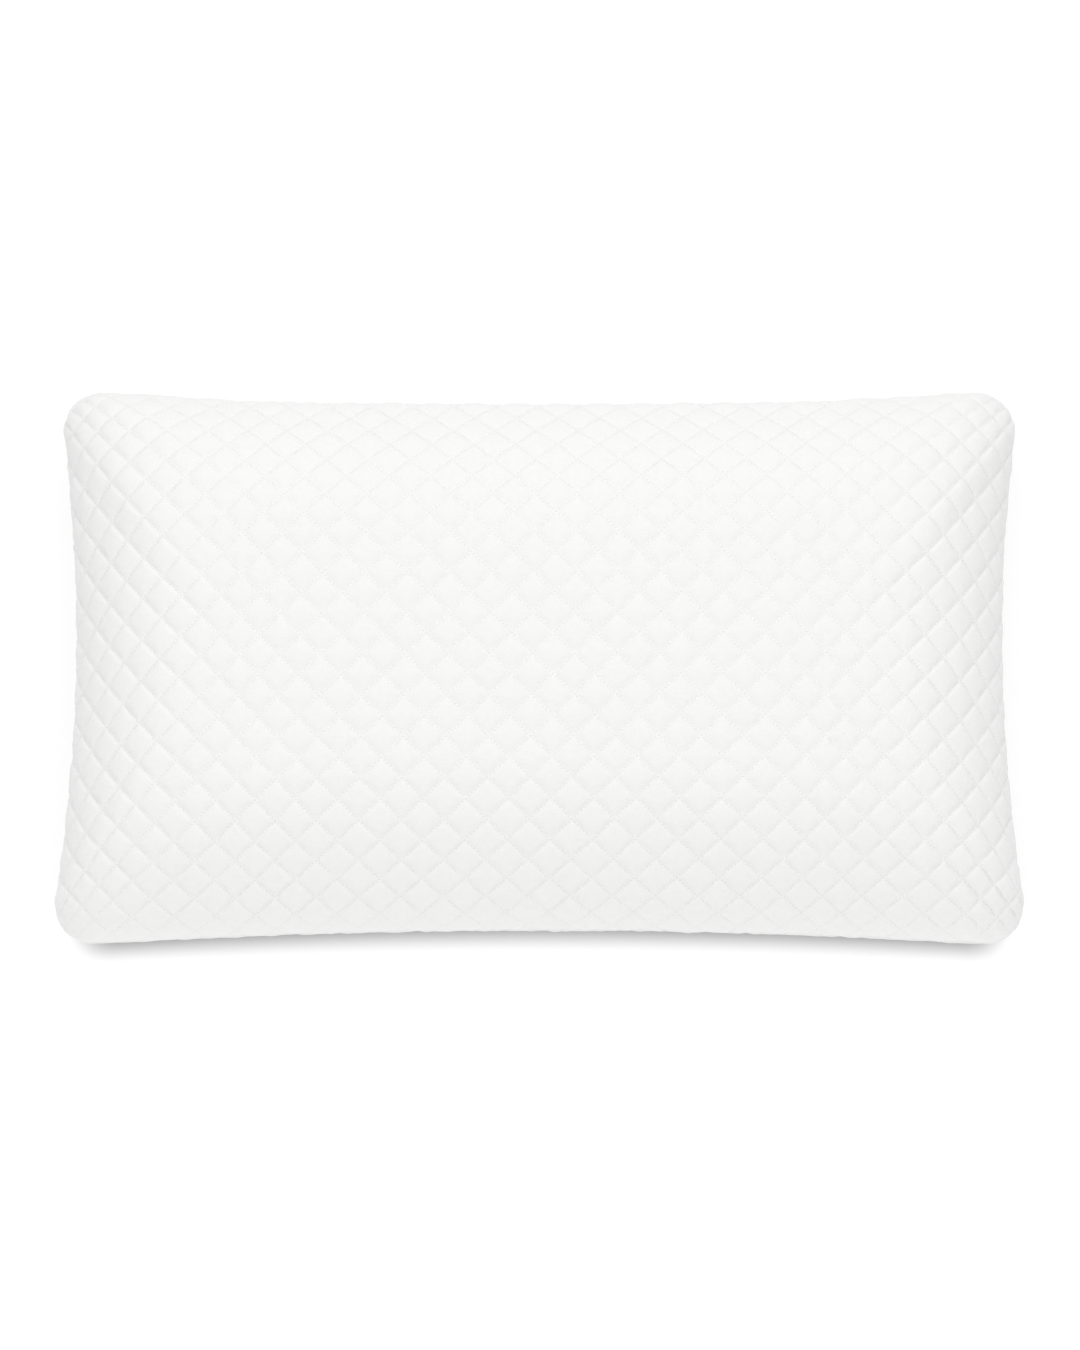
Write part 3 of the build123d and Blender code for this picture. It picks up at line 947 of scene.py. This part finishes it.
def wound_coil(name, side, node):
    """A filament wound along the middle of the zip, each turn a tooth."""
    turns = int((coil_high.x - coil_low.x - 2 * COIL_WIRE) / COIL_PITCH)
    per_turn = 12
    t = np.arange(turns * per_turn + 1) / per_turn
    angle = 2 * np.pi * t + (np.pi if side == -1 else 0)
    reach = coil_reach - COIL_WIRE / 2
    # each turn is flattened, with a blunt head towards the middle of the zip
    y = coil_y + coil_depth * np.cos(angle)
    z = SEAM_HEIGHT + side * (coil_reach + 0.1 * MM) + reach * np.tanh(1.6 * np.sin(angle)) / np.tanh(1.6)
    x = -turns * COIL_PITCH / 2 + t * COIL_PITCH
    path = np.stack([x, y, z], axis=-1)
    ahead = np.gradient(path, axis=0)
    ahead /= np.linalg.norm(ahead, axis=1, keepdims=True)
    side_way = np.cross(ahead, [1.0, 0, 0])
    side_way /= np.linalg.norm(side_way, axis=1, keepdims=True)
    other = np.cross(ahead, side_way)
    ring = np.arange(6) * np.pi / 3
    points = path[:, None] + COIL_WIRE * (
        np.cos(ring)[None, :, None] * side_way[:, None] + np.sin(ring)[None, :, None] * other[:, None]
    )
    coil = make_mesh(name, points.reshape(-1, 3), tube_faces(len(path), len(ring)))
    coil.data.materials.append(coil_plastic)
    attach(coil, "pillow")
    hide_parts(node)


wound_coil("zip_coil_upper_wound", 1, "zip_coil_upper")
wound_coil("zip_coil_lower_wound", -1, "zip_coil_lower")

# the bartacks: bars of close thread that close the ends of the opening
bar_low, bar_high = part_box("zip_bartacks")
bar_grains = []
for end in (-1, 1):
    rows = np.arange(bar_low.z + 0.3 * MM, bar_high.z, 0.45 * MM)
    for k, z in enumerate(rows):
        lean = 0.15 * MM * (-1) ** k
        centre = np.array([end * (bar_high.x - 0.8 * MM), (bar_low.y + bar_high.y) / 2, z])
        arm = np.array([1.1 * MM, 0, lean])
        out = np.array([0, 0.45 * MM, 0])
        up = np.array([0, 0, 0.3 * MM])
        bar_grains.append(grain_corners(centre[None], arm[None], up[None], out[None]))
bartacks = grains_mesh("zip_bartack_threads", bar_grains)
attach(bartacks, "pillow")
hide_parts("zip_bartacks")

# the hard pieces of the zip keep the CAD's shape, with their edges rounded
for node, material, width in (
    ("zip_slider", slider_enamel, 0.25),
    ("zip_pull", slider_enamel, 0.25),
    ("zip_top_stops", coil_plastic, 0.15),
    ("zip_bottom_stop", coil_plastic, 0.2),
    ("zip_tape_upper", tape_cloth, 0),
    ("zip_tape_lower", tape_cloth, 0),
):
    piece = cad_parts[node]
    piece.data.materials.clear()
    piece.data.materials.append(material)
    if width:
        bevel = piece.modifiers.new("soft_edges", "BEVEL")
        bevel.width = width * MM
        bevel.segments = 3
        bevel.limit_method = "ANGLE"


def filling(side, height, width, inset, seed, like=None):
    """The grid of a plain inner layer, with the slight creases it has under the cover."""
    panel = Panel(side, height, width, inset, cell=7 * MM, fine=False, like=like)
    base = panel.points()
    crease = wavy(panel.x + 0.3 * panel.y, seed, 160 * MM, 25 * MM)
    crease = crease * wavy(panel.y, seed + 1, 120 * MM, 30 * MM)
    base = base + panel.normal * (crease * 0.5 * MM * smooth_step(panel.run / (20 * MM)))[..., None]
    return panel, base


LINER_INSET = 11 * MM
LINER_DEPTH = 5.9 * MM
CORE_INSET = 12.2 * MM
CORE_DEPTH = 7.0 * MM
for name, side, height, width, node in (
    ("liner_top_jersey", 1, top_height - LINER_DEPTH, SHOULDER_ABOVE, "liner_top"),
    ("liner_bottom_jersey", -1, bottom_height - LINER_DEPTH, SHOULDER_BELOW, "liner_bottom"),
):
    _, base = filling(side, height, width, LINER_INSET, RANDOM_SEED + 60)
    base[..., 2] += side * 0.4 * MM
    liner = thick_grid(name, base if side == 1 else base[:, ::-1], 0.6 * MM, liner_cloth)
    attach(liner, "pillow")
    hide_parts(node)

inner_seam = seam_ring("liner_seam_stitching", LINER_INSET, 0.2 * MM, 0.5 * MM, 2.6 * MM, 0.0)
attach(inner_seam, "pillow")
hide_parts("liner_seam")

# the foam core: one closed moulded form
core_seed = RANDOM_SEED + 80
top_core, top_grid = filling(1, top_height - CORE_DEPTH, SHOULDER_ABOVE, CORE_INSET, core_seed)
_, bottom_grid = filling(-1, bottom_height - CORE_DEPTH, SHOULDER_BELOW, CORE_INSET, core_seed, like=top_core)
core_count = (top_core.nx + 1) * (top_core.ny + 1)
shared = np.arange(core_count) + core_count
rim = boundary(top_core.nx, top_core.ny)
shared[rim] = rim
core_faces = grid_faces(top_core.nx, top_core.ny, 1).tolist()
core_faces += shared[grid_faces(top_core.nx, top_core.ny, -1)].tolist()
core_points = np.concatenate([top_grid.reshape(-1, 3), bottom_grid.reshape(-1, 3)])
used, numbered = np.unique(core_faces, return_inverse=True)
core = make_mesh("foam_core_moulded", core_points[used], numbered.reshape(-1, 4).tolist())
core.data.materials.append(core_foam)
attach(core, "pillow")
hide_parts("foam_core")

# ---------------- camera, floor and light
CAMERA_ELEVATION = math.radians(78.3)
CAMERA_DISTANCE = 4.0
CAMERA_LENS = 143.7
AIM = Vector((0.4 * MM, -7 * MM, SEAM_HEIGHT))

FLOOR_GLOW = 0.78
FRONT_GLOW = 1.36
WORLD_LIGHT = 0.907
SIDE_LIGHT = 0.5
FLOOR_REACH = 6
FLOOR_TONE = 0.2
KEY_PLACE = (0.0, 0.9, 3.0)
KEY_AIM = (0, 0, 0.1)
KEY_SIZE = 2.6
KEY_POWER = 39.7

camera_data = bpy.data.cameras.new("camera")
camera_data.lens = CAMERA_LENS
camera_data.sensor_width = 36
camera = new_object("camera", camera_data)
backwards = Vector((0, -math.cos(CAMERA_ELEVATION), math.sin(CAMERA_ELEVATION)))
camera.location = AIM + backwards * CAMERA_DISTANCE
camera.rotation_mode = "QUATERNION"
camera.rotation_quaternion = (-backwards).to_track_quat("-Z", "Y")
scene.camera = camera

floor_mesh = bpy.data.meshes.new("floor")
floor_corners = [(a * FLOOR_REACH, b * FLOOR_REACH, 0) for a, b in ((-1, -1), (1, -1), (1, 1), (-1, 1))]
floor_mesh.from_pydata(floor_corners, [], [(0, 1, 2, 3)])
floor = new_object("floor", floor_mesh)
floor_material, floor_shader = new_material("pale_floor_with_painted_shadow", (FLOOR_TONE,) * 3, 0.8)
floor_shader.inputs["Emission Color"].default_value = (1, 1, 1, 1)

# the floor glows like a light table, with a painted shadow: the glow is dimmed in a footprint round where the
# pillow stands
GLOW_CORNER = 0.03
FOOTPRINT_HALF = (0.32, 0.185)
FOOTPRINT_FLARE = (15.0, 0.1)
FLARE_POWER = (4.0, 2.0)
FOOTPRINT_EDGE = (-0.007, 0.021)
FOOTPRINT_GLOW = 0.1
FRONT_GLOW_PLACE = (-0.15, -0.4)
floor_tree = floor_material.node_tree
floor_place = place_parts(floor_tree, "Object")


def floor_math(operation, *values):
    return math_node(floor_tree, operation, *values)


def beyond(axis, other, reach, flare, power):
    """Squared distance of a place on the floor past the footprint's inner sides, flared to its corners."""
    curve = floor_math("POWER", floor_math("ABSOLUTE", floor_place[other]), power)
    reach = floor_math("ADD", floor_math("MULTIPLY", curve, flare), reach - GLOW_CORNER)
    over = floor_math("SUBTRACT", floor_math("ABSOLUTE", floor_place[axis]), reach)
    return floor_math("POWER", floor_math("MAXIMUM", over, 0.0), 2.0)


square_x = beyond("X", "Y", FOOTPRINT_HALF[0], FOOTPRINT_FLARE[0], FLARE_POWER[0])
square_y = beyond("Y", "X", FOOTPRINT_HALF[1], FOOTPRINT_FLARE[1], FLARE_POWER[1])
outside = floor_math("SUBTRACT", floor_math("SQRT", floor_math("ADD", square_x, square_y)), GLOW_CORNER)
# painted shadow on the floor: the glow falls to FOOTPRINT_GLOW inside the footprint and rises over its edge
painted_floor_shadow = smooth_range(floor_tree, outside, FOOTPRINT_EDGE, FOOTPRINT_GLOW, 1)
# and a painted glow, brightest in front of it, that lights the pillow's front
front_painted_glow = smooth_range(floor_tree, floor_place["Y"], FRONT_GLOW_PLACE, FLOOR_GLOW, FRONT_GLOW)
floor_tree.links.new(floor_math("MULTIPLY", painted_floor_shadow, front_painted_glow), floor_shader.inputs["Emission Strength"])
floor_mesh.materials.append(floor_material)
floor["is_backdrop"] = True

world = bpy.data.worlds.new("studio")
scene.world = world
world.use_nodes = True
world_tree = world.node_tree
background = world_tree.nodes["Background"]
background.inputs["Color"].default_value = (1, 1, 1, 1)
# the studio is darker straight out to the left and right
straight_out = math_node(world_tree, "ABSOLUTE", place_parts(world_tree, "Generated")["X"])
sideways = smooth_range(world_tree, straight_out, (0.5, 1.0), WORLD_LIGHT, WORLD_LIGHT * SIDE_LIGHT)
world_tree.links.new(sideways, background.inputs["Strength"])

key_data = bpy.data.lights.new("key", "AREA")
key_data.shape = "SQUARE"
key_data.size = KEY_SIZE
key_data.energy = KEY_POWER
key = new_object("key", key_data)
key.location = KEY_PLACE
key.rotation_mode = "QUATERNION"
key.rotation_quaternion = (Vector(KEY_AIM) - Vector(KEY_PLACE)).to_track_quat("-Z", "Y")

scene.view_settings.view_transform = "Standard"

low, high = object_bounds()
